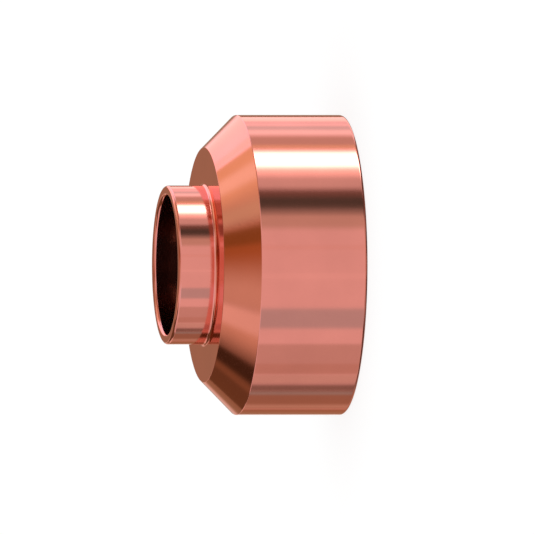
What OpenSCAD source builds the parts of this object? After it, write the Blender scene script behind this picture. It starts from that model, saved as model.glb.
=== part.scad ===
// Deflector shield of a plasma cutting torch: one cap turned from copper bar.
// It stands on its open rear rim, with its neck up and its turning axis on Z.

/* [Body] */
// Outer diameter of the body
body_d = 28; // [24:0.1:32]
// Length of the straight outside of the body, from the rear rim to the cone
body_len = 10.05; // [9:0.05:14]
// Metal left between the roots of the thread and the outside
skirt_wall = 1.5; // [1:0.1:2.5]
// Radius of the rear rim's outer edge
rim_r = 0.3; // [0.1:0.05:0.6]

/* [Nose] */
// Outer diameter of the flat face, where the outer cone ends
face_d = 21.9; // [20:0.1:23]
// Angle between the two cones' surfaces and the axis, in degrees
cone_angle = 45; // [40:1:50]
// Metal between the outer and the inner cone, square to their surfaces
cone_wall = 3.4; // [2.9:0.1:4]

/* [Neck] */
// Bore of the neck, which the tip of the torch's nozzle stands in
bore_d = 13; // [11.4:0.1:14.4]
// Thickness of the neck's wall
neck_wall = 0.92; // [0.7:0.01:1.4]
// Length of the neck in front of the flat face
neck_len = 3.65; // [2:0.05:6]
// Radius of the outer and the inner edge of the neck's lip
lip_r = 0.3; // [0.1:0.05:0.4]
// Radius in the corner at the neck's foot
foot_r = 0.3; // [0.1:0.05:0.5]

/* [Thread] */
// Pitch of the internal thread
thread_pitch = 1; // [0.75:0.25:1.5]
// Length of the full thread, between its lead-in and its relief groove
thread_len = 5.5; // [3:0.1:6.4]
// Leg of the 45 degree lead-in at the mouth
lead_in = 0.6; // [0.3:0.05:1]
// Width of the relief groove behind the thread
relief_w = 1; // [0.6:0.1:1.4]
// Depth of the relief groove below the roots of the thread
relief_depth = 0.05; // [0:0.05:0.2]
// Radius in the two corners of the relief groove
relief_r = 0.2; // [0.05:0.05:0.25]
// Width by which the shoulder that the torch's cap seats on reaches inside the thread
seat_w = 1.25; // [0.8:0.05:2]

/* [Hidden] */
$fn = 180;
// Depth of an ISO thread for each millimetre of its pitch, taken on the diameter
thread_depth_ratio = 1.0825;

body_rad = body_d / 2;
face_rad = face_d / 2;
bore_rad = bore_d / 2;
neck_rad = bore_rad + neck_wall;
root_rad = body_rad - skirt_wall;
crest_rad = root_rad - thread_depth_ratio * thread_pitch / 2;
relief_rad = root_rad + relief_depth;
cavity_rad = crest_rad - seat_w;

face_z = body_len + (body_rad - face_rad) / tan(cone_angle);
lip_z = face_z + neck_len;
relief_z = lead_in + thread_len;
seat_z = relief_z + relief_w;

// Height of the inner cone where it has the given radius
function inner_cone_z(rad) =
    body_len + (body_rad - rad) / tan(cone_angle) - cone_wall / sin(cone_angle);

// Corners of the half section as [radius, height, rounding], outwards from the
// mouth, up the outside, over the lip and back down the inside
section = [
    [crest_rad + lead_in, 0, 0],
    [body_rad, 0, rim_r],
    [body_rad, body_len, 0],
    [face_rad, face_z, 0],
    [neck_rad, face_z, foot_r],
    [neck_rad, lip_z, lip_r],
    [bore_rad, lip_z, lip_r],
    [bore_rad, inner_cone_z(bore_rad), 0],
    [cavity_rad, inner_cone_z(cavity_rad), 0],
    [cavity_rad, seat_z, 0],
    [relief_rad, seat_z, relief_r],
    [relief_rad, relief_z, relief_r],
    [crest_rad, relief_z, 0],
    [crest_rad, lead_in, 0],
];
count = len(section);
rounded = [for (i = [0 : count - 1]) if (section[i].z > 0) i];

function corner(i) = [section[i].x, section[i].y];
function rounding(i) = section[i].z;

// Unit vector from a corner to its neighbour, which a step of -1 or 1 names
function side(i, step) =
    let (along = corner((i + step + count) % count) - corner(i))
    along / norm(along);
function stands_out(i) = cross(side(i, -1), side(i, 1)) < 0;

// Where the arc in a square corner touches that side, and where its centre is
function touch(i, step) = corner(i) + rounding(i) * side(i, step);
function centre(i) = corner(i) + rounding(i) * (side(i, -1) + side(i, 1));

// The quarter of a corner's circle between its two touching points
module quarter(i)
{
    reach = 2;
    intersection()
    {
        translate(centre(i))
            circle(rounding(i));
        polygon([
            centre(i),
            centre(i) + reach * (touch(i, -1) - centre(i)),
            centre(i) + reach * (touch(i, 1) - centre(i)),
        ]);
    }
}

// The half section. Its rounded corners are first cut straight across, and then
// filled out to their arcs where they stand out, or cleared to them where not.
module half_section()
{
    difference()
    {
        union()
        {
            polygon([
                for (i = [0 : count - 1])
                    each rounding(i) > 0 ? [touch(i, -1), touch(i, 1)] : [corner(i)]
            ]);
            for (i = rounded)
                if (stands_out(i))
                    quarter(i);
        }
        for (i = rounded)
            if (!stands_out(i))
                quarter(i);
    }
}

// The whole cap: its section turned about the axis
module shield()
{
    color([0.87, 0.53, 0.48])
        rotate_extrude()
            half_section();
}

shield();
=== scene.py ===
import math

import bmesh
import bpy
from mathutils import Matrix, Vector


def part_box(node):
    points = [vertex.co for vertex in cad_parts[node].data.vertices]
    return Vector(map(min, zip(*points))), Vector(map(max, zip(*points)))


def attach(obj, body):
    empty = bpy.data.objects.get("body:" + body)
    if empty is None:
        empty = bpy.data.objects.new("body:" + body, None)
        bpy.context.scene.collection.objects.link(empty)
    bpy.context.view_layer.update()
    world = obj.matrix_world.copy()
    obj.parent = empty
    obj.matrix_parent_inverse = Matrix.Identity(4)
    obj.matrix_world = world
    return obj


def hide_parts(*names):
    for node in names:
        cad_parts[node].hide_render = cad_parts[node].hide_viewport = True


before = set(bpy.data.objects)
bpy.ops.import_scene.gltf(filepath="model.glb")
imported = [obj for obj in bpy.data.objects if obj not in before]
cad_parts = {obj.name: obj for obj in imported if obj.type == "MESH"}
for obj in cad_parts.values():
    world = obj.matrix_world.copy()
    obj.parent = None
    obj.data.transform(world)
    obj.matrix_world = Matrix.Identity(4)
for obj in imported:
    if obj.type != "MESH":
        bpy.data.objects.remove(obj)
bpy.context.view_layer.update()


# Shield
# The deflector shield is one piece of copper, turned on a lathe from round bar: a cap
# with a threaded mouth, a 45 degree shoulder, a flat front face and a short open neck.
# Outside it is polished, and inside it is left as the boring tool and the tap cut it, with a
# darker colour there that is painted shade.

MM = 0.001
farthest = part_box("shield")[1]
body_r = farthest.x
lip_z = farthest.z
neck_len = 3.65 * MM
face_z = lip_z - neck_len
face_r = 10.95 * MM
body_z = face_z - (body_r - face_r)
bore_r = 6.5 * MM
neck_wall = 0.92 * MM
neck_r = bore_r + neck_wall
cone_wall = 3.4 * MM

# The thread is M25 x 1, with a lead-in at the mouth and a relief groove behind it
thread_pitch = 1 * MM
iso_depth_share = 0.54127
thread_depth = iso_depth_share * thread_pitch
thread_len = 5.5 * MM
skirt_wall = 1.5 * MM
root_r = body_r - skirt_wall
crest_r = root_r - thread_depth
lead_in = 0.6 * MM
relief_depth = 0.05 * MM
relief_width = 1 * MM
relief_r = root_r + relief_depth
relief_z = lead_in + thread_len
seat_z = relief_z + relief_width
seat_width = 1.25 * MM
cavity_r = crest_r - seat_width

edge_rounding = 0.3 * MM
relief_rounding = 0.2 * MM
shoulder_break = 0.12 * MM
seat_break = 0.08 * MM
mouth_break = 0.05 * MM

# The inner cone runs parallel to the outer one, and has this sum of radius and height
inner_cone_sum = body_z + body_r - cone_wall * math.sqrt(2)

# Corners of the half section as (radius, height, rounding), from the mouth's edge up
# the outside, over the lip and back down the inside
half_section = [
    (crest_r + lead_in, 0, mouth_break),
    (body_r, 0, edge_rounding),
    (body_r, body_z, shoulder_break),
    (face_r, face_z, shoulder_break),
    (neck_r, face_z, edge_rounding),
    (neck_r, lip_z, edge_rounding),
    (bore_r, lip_z, edge_rounding),
    (bore_r, inner_cone_sum - bore_r, edge_rounding),
    (cavity_r, inner_cone_sum - cavity_r, edge_rounding),
    (cavity_r, seat_z, seat_break),
    (relief_r, seat_z, relief_rounding),
    (relief_r, relief_z, relief_rounding),
    (crest_r, relief_z, 0),
    (crest_r, lead_in, 0),
]

# Points closer together than this are one point
touching = 0.001 * MM
steps_in_corner = 8
steps_round = 384


def in_section(corner):
    """The place of an outline's corner in the XZ plane."""
    return Vector((corner[0], 0, corner[1]))


def draw_outline(name, corners):
    """Draws a closed outline in the XZ plane, by extruding one vertex from corner to corner."""
    bpy.ops.object.select_all(action="DESELECT")
    here = in_section(corners[0])
    bpy.ops.mesh.primitive_plane_add(size=MM, location=here)
    drawn = bpy.context.object
    drawn.name = name
    bpy.ops.object.transform_apply()
    bpy.ops.object.mode_set(mode="EDIT")
    bpy.ops.mesh.merge(type="CENTER")
    for corner in corners[1:] + corners[:1]:
        there = in_section(corner)
        bpy.ops.mesh.extrude_region_move(TRANSFORM_OT_translate={"value": there - here})
        here = there
    bpy.ops.mesh.select_all(action="SELECT")
    bpy.ops.mesh.remove_doubles(threshold=touching)
    bpy.ops.object.mode_set(mode="OBJECT")
    return drawn


def round_corner(drawn, corners, number):
    """Rounds one corner of a drawn outline by its own radius, which comes third in it."""
    place = in_section(corners[number])
    before = in_section(corners[number - 1])
    after = in_section(corners[(number + 1) % len(corners)])
    rounding = corners[number][2]
    turn = (place - before).angle(after - place)
    bpy.ops.object.mode_set(mode="EDIT")
    bpy.ops.mesh.select_all(action="DESELECT")
    bpy.ops.mesh.select_mode(type="VERT")
    outline = bmesh.from_edit_mesh(drawn.data)
    for vertex in outline.verts:
        vertex.select_set((vertex.co - place).length < touching)
    bmesh.update_edit_mesh(drawn.data)
    bpy.ops.mesh.bevel(
        affect="VERTICES",
        offset=rounding * math.tan(turn / 2),
        segments=steps_in_corner,
        profile=0.5,
    )
    bpy.ops.object.mode_set(mode="OBJECT")


shield = draw_outline("deflector_shield", half_section)
for number, corner in enumerate(half_section):
    if corner[2] > 0:
        round_corner(shield, half_section, number)

bpy.ops.object.mode_set(mode="EDIT")
bpy.ops.mesh.select_all(action="SELECT")
bpy.ops.mesh.spin(steps=steps_round, angle=math.tau, center=(0, 0, 0), axis=(0, 0, 1))
bpy.ops.mesh.select_all(action="SELECT")
bpy.ops.mesh.remove_doubles(threshold=touching)
bpy.ops.mesh.normals_make_consistent(inside=False)
bpy.ops.object.mode_set(mode="OBJECT")

# The thread is a helical groove of the ISO form, right-hand, with flanks at 30 degrees and
# a root an eighth of the pitch wide. Its tool stands a little way out of the crests, starts
# outside the mouth and runs out midway in the relief groove.
reach = 0.1 * MM
flank_slope = math.tan(math.radians(30))
tool_half_root = thread_pitch / 16
tool_half_mouth = tool_half_root + (thread_depth + reach) * flank_slope
turns = 8
steps_in_turn = 128
tool_z = seat_z - relief_width / 2 - turns * thread_pitch
tool = draw_outline("thread_tool", [
    (crest_r - reach, tool_z - tool_half_mouth),
    (root_r, tool_z - tool_half_root),
    (root_r, tool_z + tool_half_root),
    (crest_r - reach, tool_z + tool_half_mouth),
])
winding = tool.modifiers.new("winding", "SCREW")
winding.axis = "Z"
winding.angle = math.tau
winding.screw_offset = thread_pitch
winding.iterations = turns
winding.steps = steps_in_turn
winding.render_steps = steps_in_turn
winding.use_merge_vertices = False
bpy.ops.object.modifier_apply(modifier="winding")
bpy.ops.object.mode_set(mode="EDIT")
bpy.ops.mesh.select_all(action="DESELECT")
bpy.ops.mesh.select_mode(type="EDGE")
bpy.ops.mesh.select_non_manifold()
bpy.ops.mesh.fill_holes(sides=4)
bpy.ops.mesh.select_all(action="SELECT")
bpy.ops.mesh.normals_make_consistent(inside=False)
bpy.ops.object.mode_set(mode="OBJECT")

bpy.ops.object.select_all(action="DESELECT")
bpy.context.view_layer.objects.active = shield
shield.select_set(True)
tapping = shield.modifiers.new("tapping", "BOOLEAN")
tapping.operation = "DIFFERENCE"
tapping.solver = "EXACT"
tapping.object = tool
bpy.ops.object.modifier_apply(modifier="tapping")
bpy.data.objects.remove(tool)


def resize_shield(times):
    """Makes the selected shield so many times as large."""
    bpy.ops.transform.resize(value=(times, times, times), center_override=(0, 0, 0))
    bpy.ops.object.transform_apply()


# The flats are kept flat up to the small roundings beside them. The weights are areas, and
# the shield's are too small to count in metres, so it is weighed at a thousand times its size.
enlargement = 1000
sharp_angle = math.radians(30)
bpy.ops.object.shade_smooth_by_angle(angle=sharp_angle)
resize_shield(enlargement)
flats = shield.modifiers.new("flats", "WEIGHTED_NORMAL")
flats.keep_sharp = True
bpy.ops.object.modifier_apply(modifier="flats")
resize_shield(1 / enlargement)

# The copper keeps its tint at a glancing angle. The tarnish darkens it in soft clouds, and
# the crests of the lathe's marks are a little hazier than the metal between them.
glancing_tint = (1, 0.72, 0.62, 1)
clouds_per_metre = 220
tarnished_share = 0.82
mark_haze = 0.06


def turned_copper(name, colour, roughness, mark_spacing, mark_depth):
    """Copper as a lathe leaves it, with fine rings round the axis and a faint cloudy tarnish."""
    metal = bpy.data.materials.new(name)
    metal.use_nodes = True
    nodes = metal.node_tree.nodes
    links = metal.node_tree.links
    shader = nodes["Principled BSDF"]
    shader.inputs["Metallic"].default_value = 1
    shader.inputs["Specular Tint"].default_value = glancing_tint

    place = nodes.new("ShaderNodeTexCoord")
    split = nodes.new("ShaderNodeSeparateXYZ")
    links.new(place.outputs["Object"], split.inputs[0])
    across = nodes.new("ShaderNodeVectorMath")
    across.operation = "MULTIPLY"
    across.inputs[1].default_value = (1, 1, 0)
    links.new(place.outputs["Object"], across.inputs[0])
    radius = nodes.new("ShaderNodeVectorMath")
    radius.operation = "LENGTH"
    links.new(across.outputs["Vector"], radius.inputs[0])
    feed = nodes.new("ShaderNodeMath")
    feed.operation = "SUBTRACT"
    links.new(split.outputs["Z"], feed.inputs[0])
    links.new(radius.outputs["Value"], feed.inputs[1])

    marks = nodes.new("ShaderNodeTexNoise")
    marks.noise_dimensions = "1D"
    marks.inputs["Scale"].default_value = 1 / mark_spacing
    marks.inputs["Detail"].default_value = 3
    links.new(feed.outputs[0], marks.inputs["W"])
    bump = nodes.new("ShaderNodeBump")
    bump.inputs["Distance"].default_value = mark_depth
    links.new(marks.outputs[0], bump.inputs["Height"])
    links.new(bump.outputs[0], shader.inputs["Normal"])

    clouds = nodes.new("ShaderNodeTexNoise")
    clouds.inputs["Scale"].default_value = clouds_per_metre
    clouds.inputs["Detail"].default_value = 4
    links.new(place.outputs["Object"], clouds.inputs["Vector"])
    tarnish = nodes.new("ShaderNodeMix")
    tarnish.data_type = "RGBA"
    tarnish.inputs["A"].default_value = (*colour, 1)
    tarnish.inputs["B"].default_value = (*[tarnished_share * level for level in colour], 1)
    links.new(clouds.outputs[0], tarnish.inputs["Factor"])
    links.new(tarnish.outputs["Result"], shader.inputs["Base Color"])

    haze = nodes.new("ShaderNodeMath")
    haze.operation = "MULTIPLY_ADD"
    haze.inputs[1].default_value = mark_haze
    haze.inputs[2].default_value = roughness
    links.new(marks.outputs[0], haze.inputs[0])
    links.new(haze.outputs[0], shader.inputs["Roughness"])
    return metal


polished = turned_copper(
    "polished_copper",
    colour=(0.78, 0.262, 0.212),
    roughness=0.07,
    mark_spacing=0.16 * MM,
    mark_depth=0.0004 * MM,
)
# Its darker colour is painted shade of the hollow; the rougher finish and deeper marks are the
# boring tool's.
bored_and_shaded = turned_copper(
    "bored_and_shaded_copper",
    colour=(0.38, 0.18, 0.145),
    roughness=0.1,
    mark_spacing=0.1 * MM,
    mark_depth=0.001 * MM,
)

# All of the inside has the finish the boring tool and the tap leave, from just above the rear
# rim to the rounding of the lip, and its darker colour is painted shade
margin = 0.1 * MM
fine_margin = 0.01 * MM
shield.data.materials.clear()
shield.data.materials.append(polished)
shield.data.materials.append(bored_and_shaded)
for face in shield.data.polygons:
    radius = face.center.xy.length
    height = face.center.z
    in_mouth = fine_margin < height < seat_z + margin and radius < relief_r + margin
    in_cavity = height > seat_z and radius + height < inner_cone_sum + margin
    in_bore = radius < bore_r + fine_margin and height < lip_z - edge_rounding
    face.material_index = 1 if in_mouth or in_cavity or in_bore else 0

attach(shield, "root")
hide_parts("shield")


# Floor
# A plain white table top, a hair's breadth under the shield. It takes the soft shadow, and
# from below it is clear, so that the threaded mouth can be looked at. The copper mirrors the
# panels underneath in its place.

floor_side = 1.2
floor_gap = 0.01 * MM
bpy.ops.object.select_all(action="DESELECT")
bpy.ops.mesh.primitive_plane_add(size=floor_side, location=(0, 0, -floor_gap))
floor = bpy.context.object
floor.name = "floor"
floor.visible_glossy = False
table_top = bpy.data.materials.new("white_table_top")
table_top.use_nodes = True
nodes = table_top.node_tree.nodes
links = table_top.node_tree.links
nodes.clear()
paint = nodes.new("ShaderNodeBsdfDiffuse")
paint.inputs["Color"].default_value = (0.2, 0.2, 0.2, 1)
glow = nodes.new("ShaderNodeEmission")
glow.inputs["Color"].default_value = (0.82, 0.82, 0.82, 1)
both = nodes.new("ShaderNodeAddShader")
links.new(paint.outputs[0], both.inputs[0])
links.new(glow.outputs[0], both.inputs[1])
clear = nodes.new("ShaderNodeBsdfTransparent")
seen_side = nodes.new("ShaderNodeNewGeometry")
top_or_under = nodes.new("ShaderNodeMixShader")
links.new(seen_side.outputs["Backfacing"], top_or_under.inputs[0])
links.new(both.outputs[0], top_or_under.inputs[1])
links.new(clear.outputs[0], top_or_under.inputs[2])
output = nodes.new("ShaderNodeOutputMaterial")
links.new(top_or_under.outputs[0], output.inputs[0])
floor.data.materials.append(table_top)


# Studio
# The room is white all round. Glowing cards stand half a metre to a metre and a half from
# the shield, and the polished copper shows each of them as a band along its length. The
# camera doesn't see them, and they neither light the floor nor give a shadow.

world = bpy.data.worlds.new("white_room")
bpy.context.scene.world = world
world.use_nodes = True
room_light = world.node_tree.nodes["Background"]
room_light.inputs["Color"].default_value = (1, 1, 1, 1)
room_light.inputs["Strength"].default_value = 1

# A card's edge in its own coordinates, the share of its height that fades, and how much
# nearer each standing card is than the one before it
card_edge = 0.5
end_fade = 0.1
card_step = 0.01


def add_card(name, place, faces_shield, width, height, soft, light):
    """Adds a plain glowing card, level or facing the shield, with its edges faded out."""
    bpy.ops.object.select_all(action="DESELECT")
    turn = (0, 0, 0)
    if faces_shield:
        turn = (-Vector(place)).to_track_quat("-Z", "Y").to_euler()
    bpy.ops.mesh.primitive_plane_add(size=1, location=place, rotation=turn)
    card = bpy.context.object
    card.name = name
    card.scale = (width, height, 1)
    card.visible_camera = False
    card.visible_diffuse = False
    card.visible_shadow = False

    board = bpy.data.materials.new(name)
    board.use_nodes = True
    nodes = board.node_tree.nodes
    links = board.node_tree.links
    nodes.clear()
    glow = nodes.new("ShaderNodeEmission")
    glow.inputs["Color"].default_value = (*light, 1)
    nothing = nodes.new("ShaderNodeBsdfTransparent")
    edges = nodes.new("ShaderNodeMixShader")
    links.new(nothing.outputs[0], edges.inputs[1])
    links.new(glow.outputs[0], edges.inputs[2])
    end = nodes.new("ShaderNodeOutputMaterial")
    links.new(edges.outputs[0], end.inputs[0])

    place_on_card = nodes.new("ShaderNodeTexCoord")
    split = nodes.new("ShaderNodeSeparateXYZ")
    links.new(place_on_card.outputs["Object"], split.inputs[0])
    inwards = []
    for axis, fade in (("X", soft), ("Y", end_fade)):
        off_middle = nodes.new("ShaderNodeMath")
        off_middle.operation = "ABSOLUTE"
        links.new(split.outputs[axis], off_middle.inputs[0])
        fading = nodes.new("ShaderNodeMapRange")
        fading.interpolation_type = "SMOOTHSTEP"
        fading.inputs["From Min"].default_value = card_edge
        fading.inputs["From Max"].default_value = card_edge - fade / 2
        links.new(off_middle.outputs[0], fading.inputs["Value"])
        inwards.append(fading.outputs[0])
    both_ways = nodes.new("ShaderNodeMath")
    both_ways.operation = "MULTIPLY"
    links.new(inwards[0], both_ways.inputs[0])
    links.new(inwards[1], both_ways.inputs[1])
    links.new(both_ways.outputs[0], edges.inputs[0])
    card.data.materials.append(board)


# The cards round the shield: name, azimuth from the front, elevation, width and height as
# angles, the share of the width that fades, and the light. Each covers the ones before it.
standing = [
    ("rear_softbox", 148.5, 17.5, 42, 44, 0.06, (1.85, 1.85, 2.2)),
    ("rear_softbox_foot", 154, -18, 20, 30, 0.3, (1.85, 1.85, 2.1)),
    ("rear_softbox_wing", 133.5, -18, 28, 30, 0.3, (1.45, 1.58, 1.9)),
    ("rear_softbox_edge", 124.5, -18, 16.5, 30, 0.8, (1.5, 1.8, 2)),
    ("rear_softbox_seam", 131.3, -18, 13, 30, 0.95, (0.97, 1.3, 1.52)),
    ("rear_softbox_crease", 141.8, -18, 5, 30, 0.9, (1.2, 1.32, 1.65)),
    ("rear_softbox_fold", 133.5, 33.5, 8, 12, 0.8, (1.68, 1.7, 1.8)),
    ("blue_softbox", 131.5, 8, 49, 13, 0.3, (1.55, 2, 2.9)),
    ("back_board", 178, 12, 34, 40, 0.6, (0.4, 0.31, 0.225)),
    ("back_board_foot", 170.5, -22, 24, 34, 0.1, (0.4, 0.31, 0.225)),
    ("grey_gap", 110, -18, 15.5, 40, 0.5, (0.77, 0.77, 0.7)),
    ("key_flank", 65, -18, 14, 40, 0.5, (0.86, 0.89, 0.86)),
    ("key_softbox_edge", 87, -18, 37, 40, 1, (2.7, 2.7, 2.55)),
    ("key_softbox", 89, -18, 23, 40, 0.8, (7, 7, 7)),
    ("key_softbox_rim", 103.5, -18, 8, 40, 1, (1.04, 0.98, 0.68)),
    ("flag_flank", 35.7, -18, 21.4, 40, 0.6, (0.73, 0.75, 0.65)),
    ("black_flag", 47.5, -18, 25, 40, 0.9, (0.16, 0.18, 0.15)),
    ("black_flag_edge", 55.5, -18, 16.5, 40, 0.85, (0.22, 0.18, 0.15)),
    ("black_flag_fold", 50, -18, 14, 40, 0.9, (0.1, 0.12, 0.1)),
    ("tan_strip_light", 91, 10, 28, 13, 0.4, (0.78, 0.62, 0.55)),
    ("brown_strip_light", 74, 10, 14, 13, 0.8, (0.5, 0.28, 0.14)),
    ("grey_strip_light", 52, 10, 28, 13, 0.6, (0.4, 0.37, 0.32)),
    ("blue_strip_light", 30, 10, 12, 13, 0.9, (1.2, 1.45, 1.7)),
    ("warm_strip_light", 6, 10, 30, 13, 0.5, (0.95, 0.86, 0.82)),
    ("side_softbox", -44, 10, 44, 13, 0.7, (1.12, 1.3, 1.62)),
    ("high_flag", 82, 28, 66, 23, 0.4, (0.56, 0.42, 0.32)),
    ("high_flag_top", 76, 49, 28, 15, 0.5, (0.44, 0.3, 0.16)),
    ("front_dim_card", 13.4, -18, 4.5, 40, 0.6, (0.98, 0.94, 0.91)),
    ("front_pale_card", -8.4, -18, 6.5, 40, 0.5, (1.05, 1.05, 1.05)),
    ("grey_card", -41.5, -18, 20, 40, 0.4, (0.66, 0.8, 0.83)),
    ("low_card", -72.5, -18, 21, 40, 0.2, (0.74, 0.73, 0.68)),
    ("low_card_flank", -87, -18, 13, 40, 0.3, (0.69, 0.63, 0.55)),
    ("low_card_end", -98.2, -18, 12.5, 40, 0.4, (0.79, 0.82, 0.75)),
    ("rear_dim_board", -154, -18, 32, 34, 0.2, (0.43, 0.325, 0.21)),
    ("dim_board", -127, -18, 30, 34, 0.15, (0.42, 0.36, 0.26)),
    ("rear_dim_strip", -140, -18, 16, 34, 1, (0.62, 0.62, 0.52)),
    ("rear_dim_fold", -146, -18, 6, 34, 0.9, (0.68, 0.57, 0.51)),
    ("dim_strip", -116, -18, 9, 34, 0.9, (0.42, 0.58, 0.56)),
    ("dark_post", -109, -18, 16, 34, 0.8, (0.31, 0.3, 0.26)),
    ("dim_flag", -103, 10, 24, 13, 0.8, (0.7, 0.68, 0.72)),
    ("dark_flag", -124, 9, 24, 14, 0.7, (0.14, 0.12, 0.06)),
    ("rear_dark_board", -140, 29, 46, 36, 0.15, (0.17, 0.12, 0.06)),
    ("rear_dark_fold", -133, 34, 8, 14, 0.9, (0.26, 0.18, 0.09)),
    ("rear_dark_foot", -160, 9, 20, 14, 0.5, (0.38, 0.33, 0.22)),
    ("rear_dark_end", -168, 3, 14, 16, 0.8, (0.8, 0.7, 0.64)),
    ("black_corner", -123, 41, 12, 14, 0.6, (0.06, 0.04, 0.02)),
]
for order, (name, azimuth, elevation, width, height, soft, light) in enumerate(standing):
    around = math.radians(azimuth)
    above = math.radians(elevation)
    towards = Vector((
        math.sin(around) * math.cos(above),
        -math.cos(around) * math.cos(above),
        math.sin(above),
    ))
    distance = 1 - card_step * order
    wide = 2 * distance * math.tan(math.radians(width / 2))
    tall = 2 * distance * math.tan(math.radians(height / 2))
    add_card(name, towards * distance, True, wide, tall, soft, light)

# The panels overhead and underneath: name, place, width, depth, the share of the width that
# fades, and the light
lying = [
    ("brown_ceiling", (0, 0.85, 1.01), 1, 2, 0.3, (0.4, 0.31, 0.22)),
    ("amber_panel", (0.175, -0.5, 1), 1.25, 0.9, 0.05, (0.79, 0.7, 0.54)),
    ("amber_wing", (-0.85, 0.45, 0.995), 0.95, 1.5, 0.1, (0.84, 0.7, 0.5)),
    ("amber_side", (0.65, 0.2, 0.99), 0.6, 0.9, 0.3, (0.79, 0.7, 0.48)),
    ("orange_strip", (0.15, -0.48, 0.98), 0.76, 0.86, 0.97, (0.48, 0.23, 0.07)),
    ("brown_strip", (0.24, -0.48, 0.97), 0.2, 0.86, 0.6, (0.3, 0.16, 0.04)),
    ("olive_strip", (0.44, -0.15, 0.96), 0.25, 0.7, 0.9, (0.8, 0.82, 0.56)),
    ("gold_panel", (1, 0.4, 0.955), 1.06, 1.4, 0.4, (1.12, 1, 0.62)),
    ("pale_gold_strip", (0.75, 0.4, 0.95), 0.23, 1.4, 0.7, (1.33, 1.36, 1.1)),
    ("pale_strip", (-0.46, 0, 0.96), 0.27, 0.9, 0.6, (1.03, 0.98, 0.85)),
    ("black_end", (-1.06, 0.4, 0.95), 1.06, 1.4, 0.73, (0.05, 0.02, 0)),
    ("top_light", (0, 0, 0.94), 0.16, 0.16, 0.4, (0.75, 0.66, 0.54)),
    ("dark_base", (0, 0, -1.01), 3.4, 3.4, 0.1, (0.28, 0.23, 0.19)),
    ("brown_base", (0, -0.9, -1), 1.7, 1.5, 0.4, (0.75, 0.63, 0.53)),
    ("low_side", (0.95, 0, -0.96), 0.95, 1.2, 0.4, (0.07, 0.055, 0.045)),
    ("other_low_side", (-0.95, 0, -0.96), 0.95, 1.2, 0.4, (0.07, 0.055, 0.045)),
    ("black_base", (0, 0, -0.95), 0.8, 0.8, 0.3, (0.08, 0.09, 0.1)),
    ("pale_base", (0, 0, -0.9), 0.15, 0.15, 0.3, (1.1, 1.05, 1)),
]
for name, place, width, depth, soft, light in lying:
    add_card(name, place, False, width, depth, soft, light)


# Camera
# It looks without perspective, from 10 degrees in front of square to the axis, and is
# turned a quarter so that the neck points to the picture's left.

pixel = 0.09331 * MM
picture_side = 535 * pixel
tilt = math.radians(10)
camera_distance = 0.25
bpy.ops.object.camera_add()
camera = bpy.context.object
camera.data.type = "ORTHO"
camera.data.ortho_scale = picture_side
camera.data.clip_start = 1 * MM
right = Vector((0, -math.sin(tilt), -math.cos(tilt)))
up = Vector((1, 0, 0))
back = right.cross(up)
picture_middle = Vector((-0.233, 0, 7.056)) * MM
turned = Matrix((right, up, back)).transposed().to_4x4()
camera.matrix_world = Matrix.Translation(picture_middle + back * camera_distance) @ turned
bpy.context.scene.camera = camera
bpy.context.scene.view_settings.view_transform = "Standard"
